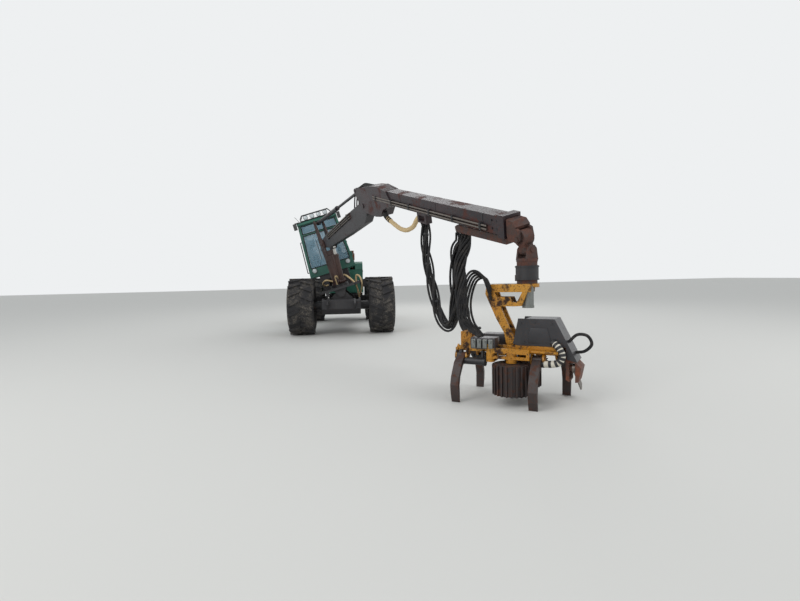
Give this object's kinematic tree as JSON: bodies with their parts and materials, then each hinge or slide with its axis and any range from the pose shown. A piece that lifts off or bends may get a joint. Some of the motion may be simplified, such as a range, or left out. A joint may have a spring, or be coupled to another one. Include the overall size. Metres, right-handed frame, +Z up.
{
  "type": "forestry harvester",
  "caption": "Four-wheeled articulated forestry harvester with a levelling cab and crane deck, a parallel-linkage crane and a felling head with four knives and two feed rollers, parked with the head on its claws.",
  "frame": {"origin": "middle of the bounding box, at ground level", "axes": "+X the way the machine drives, +Y to its left, +Z up"},
  "size_m": [12.7944, 4.284, 3.3761],
  "materials": {
    "rubber": "matt, dusty",
    "yellow_paint": "worn gloss",
    "green_paint": "worn gloss",
    "glass": "clear, tinted",
    "cast_iron": "matt",
    "rusty_steel": "rusty",
    "chrome_steel": "polished",
    "brown_steel": "worn",
    "seat_fabric": "matt",
    "plastic": "satin",
    "hose_rubber": "satin",
    "sleeve_fabric": "matt",
    "black_paint": "worn satin"
  },
  "bodies": {
    "rear": {"rear_frame": "black_paint", "engine_block": "cast_iron", "engine_hood": "green_paint", "exhaust": "rusty_steel", "rear_axle": "black_paint"},
    "lid": {"hood_lid": "green_paint"},
    "front": {"front_frame": "black_paint", "front_axle": "black_paint", "front_fenders": "black_paint"},
    "wheel_fl": {"tyre_fl": "rubber", "rim_fl": "yellow_paint"},
    "wheel_fr": {"tyre_fr": "rubber", "rim_fr": "yellow_paint"},
    "wheel_rl": {"tyre_rl": "rubber", "rim_rl": "yellow_paint"},
    "wheel_rr": {"tyre_rr": "rubber", "rim_rr": "yellow_paint"},
    "level_barrel": {"level_barrel": "black_paint"},
    "level_rod": {"level_rod": "chrome_steel"},
    "deck": {"deck": "black_paint", "cab_shell": "green_paint", "cab_glass": "glass", "cab_roof": "green_paint", "cab_lights": "black_paint", "seat": "seat_fabric", "controls": "plastic"},
    "door": {"cab_door": "green_paint", "door_glass": "glass"},
    "pillar": {"pillar": "brown_steel"},
    "main_boom": {"main_boom": "black_paint"},
    "lift_barrel": {"lift_barrel": "brown_steel"},
    "lift_rod": {"lift_rod": "chrome_steel"},
    "jib_barrel": {"jib_barrel": "black_paint"},
    "jib_rod": {"jib_rod": "black_paint"},
    "outer_boom": {"outer_boom": "black_paint", "boom_sleeve": "sleeve_fabric", "hose_bundle_boom": "hose_rubber"},
    "extension": {"extension": "rusty_steel", "hose_bundle_arm": "hose_rubber"},
    "tip_link": {"tip_link": "rusty_steel"},
    "rotator": {"rotator": "black_paint"},
    "tilt_frame": {"tilt_frame": "yellow_paint"},
    "head": {"head_frame": "yellow_paint", "head_hood": "black_paint", "saw_box": "rusty_steel"},
    "saw_bar": {"saw_bar": "chrome_steel"},
    "knife_front_near": {"knife_front_near": "black_paint"},
    "knife_front_far": {"knife_front_far": "black_paint"},
    "knife_rear_near": {"knife_rear_near": "black_paint"},
    "knife_rear_far": {"knife_rear_far": "black_paint"},
    "feed_arm_near": {"feed_arm_near": "yellow_paint"},
    "feed_arm_far": {"feed_arm_far": "yellow_paint"},
    "roller_near": {"roller_near": "rusty_steel"},
    "roller_far": {"roller_far": "rusty_steel"}
  },
  "joints": [
    {"name": "centre_steer", "type": "hinge", "parent": "rear", "child": "front", "pos_m": [-3.187, -0.802, 0.727], "axis": [0, 0, 1], "range_deg": [-40, 40]},
    {"name": "wheel_fl", "type": "hinge", "parent": "front", "child": "wheel_fl", "pos_m": [-1.237, 0.213, 0.727], "axis": [0, 1, 0], "continuous": true},
    {"name": "wheel_fr", "type": "hinge", "parent": "front", "child": "wheel_fr", "pos_m": [-1.237, -1.817, 0.727], "axis": [0, 1, 0], "continuous": true},
    {"name": "wheel_rl", "type": "hinge", "parent": "rear", "child": "wheel_rl", "pos_m": [-5.137, 0.213, 0.727], "axis": [0, 1, 0], "continuous": true},
    {"name": "wheel_rr", "type": "hinge", "parent": "rear", "child": "wheel_rr", "pos_m": [-5.137, -1.817, 0.727], "axis": [0, 1, 0], "continuous": true},
    {"name": "hood_lift", "type": "hinge", "parent": "rear", "child": "lid", "pos_m": [-6.276, -0.802, 1.643], "axis": [0, -1, 0], "range_deg": [0, 60]},
    {"name": "deck_roll", "type": "hinge", "parent": "front", "child": "deck", "pos_m": [-1.237, -0.802, 1.05], "axis": [1, 0, 0], "range_deg": [-33, 1]},
    {"name": "level_swing", "type": "hinge", "parent": "front", "child": "level_barrel", "pos_m": [-0.827, -1.102, 0.68], "axis": [1, 0, 0], "range_deg": [-30, 30]},
    {"name": "level_stroke", "type": "slide", "parent": "level_barrel", "child": "level_rod", "axis": [0, -0.0886, 0.9961], "range_m": [-0.03, 0.26]},
    {"name": "door_swing", "type": "hinge", "parent": "deck", "child": "door", "pos_m": [-2.364, -0.63778, 2.46121], "axis": [0, 0.3396, -0.9406], "range_deg": [0, 80]},
    {"name": "crane_slew", "type": "hinge", "parent": "deck", "child": "pillar", "pos_m": [-1.677, -0.802, 1.05], "axis": [0, 0.2756, -0.9613], "range_deg": [-87.4, 122.6]},
    {"name": "main_lift", "type": "hinge", "parent": "pillar", "child": "main_boom", "pos_m": [-1.6484, -1.17118, 2.37039], "axis": [0.3024, -0.9163, -0.2627], "range_deg": [-14.8, 57.2]},
    {"name": "lift_swing", "type": "hinge", "parent": "pillar", "child": "lift_barrel", "pos_m": [-1.36245, -0.78878, 1.36588], "axis": [0.3024, -0.9163, -0.2627], "range_deg": [-40, 40]},
    {"name": "lift_stroke", "type": "slide", "parent": "lift_barrel", "child": "lift_rod", "axis": [0.2168, -0.2023, 0.955], "range_m": [-0.25, 0.6]},
    {"name": "link_swing", "type": "hinge", "parent": "pillar", "child": "jib_barrel", "pos_m": [-1.79138, -1.37713, 2.92407], "axis": [0.3024, -0.9163, -0.2627], "range_deg": [-40, 100]},
    {"name": "link_stroke", "type": "slide", "parent": "jib_barrel", "child": "jib_rod", "axis": [0.953, 0.2959, 0.065], "range_m": [-0.9, 0.4]},
    {"name": "elbow", "type": "hinge", "parent": "main_boom", "child": "outer_boom", "pos_m": [1.84563, -0.15516, 2.84823], "axis": [-0.3024, 0.9163, 0.2627], "range_deg": [-30, 110], "deforming": ["boom_sleeve"]},
    {"name": "boom_extend", "type": "slide", "parent": "outer_boom", "child": "extension", "axis": [-0.8928, -0.3688, 0.2586], "range_m": [-2.2, 0], "deforming": ["hose_bundle_boom"]},
    {"name": "tip_swing", "type": "hinge", "parent": "extension", "child": "tip_link", "pos_m": [5.84634, 1.44936, 1.85685], "axis": [-0.3024, 0.9163, 0.2627], "range_deg": [-75, 25], "deforming": ["hose_bundle_arm"]},
    {"name": "side_swing", "type": "hinge", "parent": "tip_link", "child": "rotator", "pos_m": [5.83399, 1.48678, 1.71212], "axis": [-0.9496, -0.3134, 0], "range_deg": [-25, 25]},
    {"name": "rotator_turn", "type": "hinge", "parent": "rotator", "child": "tilt_frame", "pos_m": [5.83399, 1.48678, 1.71212], "axis": [0, 0, 1], "continuous": true},
    {"name": "head_tilt", "type": "hinge", "parent": "tilt_frame", "child": "head", "pos_m": [5.81348, 1.31802, 0.68], "axis": [-0.8192, 0.5736, 0], "range_deg": [0, 50]},
    {"name": "knife_front_near", "type": "hinge", "parent": "head", "child": "knife_front_near", "pos_m": [5.65365, 0.75851, 0.503], "axis": [-0.5736, -0.8192, 0], "range_deg": [-20, 14]},
    {"name": "knife_front_far", "type": "hinge", "parent": "head", "child": "knife_front_far", "pos_m": [5.34238, 0.97647, 0.503], "axis": [0.5736, 0.8192, 0], "range_deg": [-20, 14]},
    {"name": "knife_rear_near", "type": "hinge", "parent": "head", "child": "knife_rear_near", "pos_m": [6.15553, 1.47527, 0.503], "axis": [-0.5736, -0.8192, 0], "range_deg": [-45, 14]},
    {"name": "knife_rear_far", "type": "hinge", "parent": "head", "child": "knife_rear_far", "pos_m": [5.9561, 1.85296, 0.503], "axis": [0.5736, 0.8192, 0], "range_deg": [-45, 14]},
    {"name": "arm_near", "type": "hinge", "parent": "head", "child": "feed_arm_near", "pos_m": [5.92322, 1.02145, 0.496], "axis": [0, 0, -1], "range_deg": [0, 35]},
    {"name": "roller_near", "type": "hinge", "parent": "feed_arm_near", "child": "roller_near", "pos_m": [6.03466, 1.22419, 0.12], "axis": [0, 0, 1], "continuous": true},
    {"name": "arm_far", "type": "hinge", "parent": "head", "child": "feed_arm_far", "pos_m": [5.49726, 1.31971, 0.496], "axis": [0, 0, 1], "range_deg": [0, 35]},
    {"name": "roller_far", "type": "hinge", "parent": "feed_arm_far", "child": "roller_far", "pos_m": [5.64966, 1.49377, 0.12], "axis": [0, 0, 1], "continuous": true},
    {"name": "saw_swing", "type": "hinge", "parent": "head", "child": "saw_bar", "pos_m": [6.25266, 1.84063, 0.42], "axis": [-0.5736, -0.8192, 0], "range_deg": [0, 100]}
  ],
  "couplings": [
    {"joint": "level_swing", "follows": "deck_roll", "ratio": 0.11634},
    {"joint": "level_stroke", "follows": "deck_roll", "m_per_rad": -0.3256},
    {"joint": "lift_swing", "follows": "main_lift", "ratio": 0.1054},
    {"joint": "lift_stroke", "follows": "main_lift", "m_per_rad": 0.50342},
    {"joint": "link_swing", "follows": "main_lift", "ratio": 1.0181},
    {"joint": "link_stroke", "follows": "main_lift", "m_per_rad": -0.55768}
  ]
}
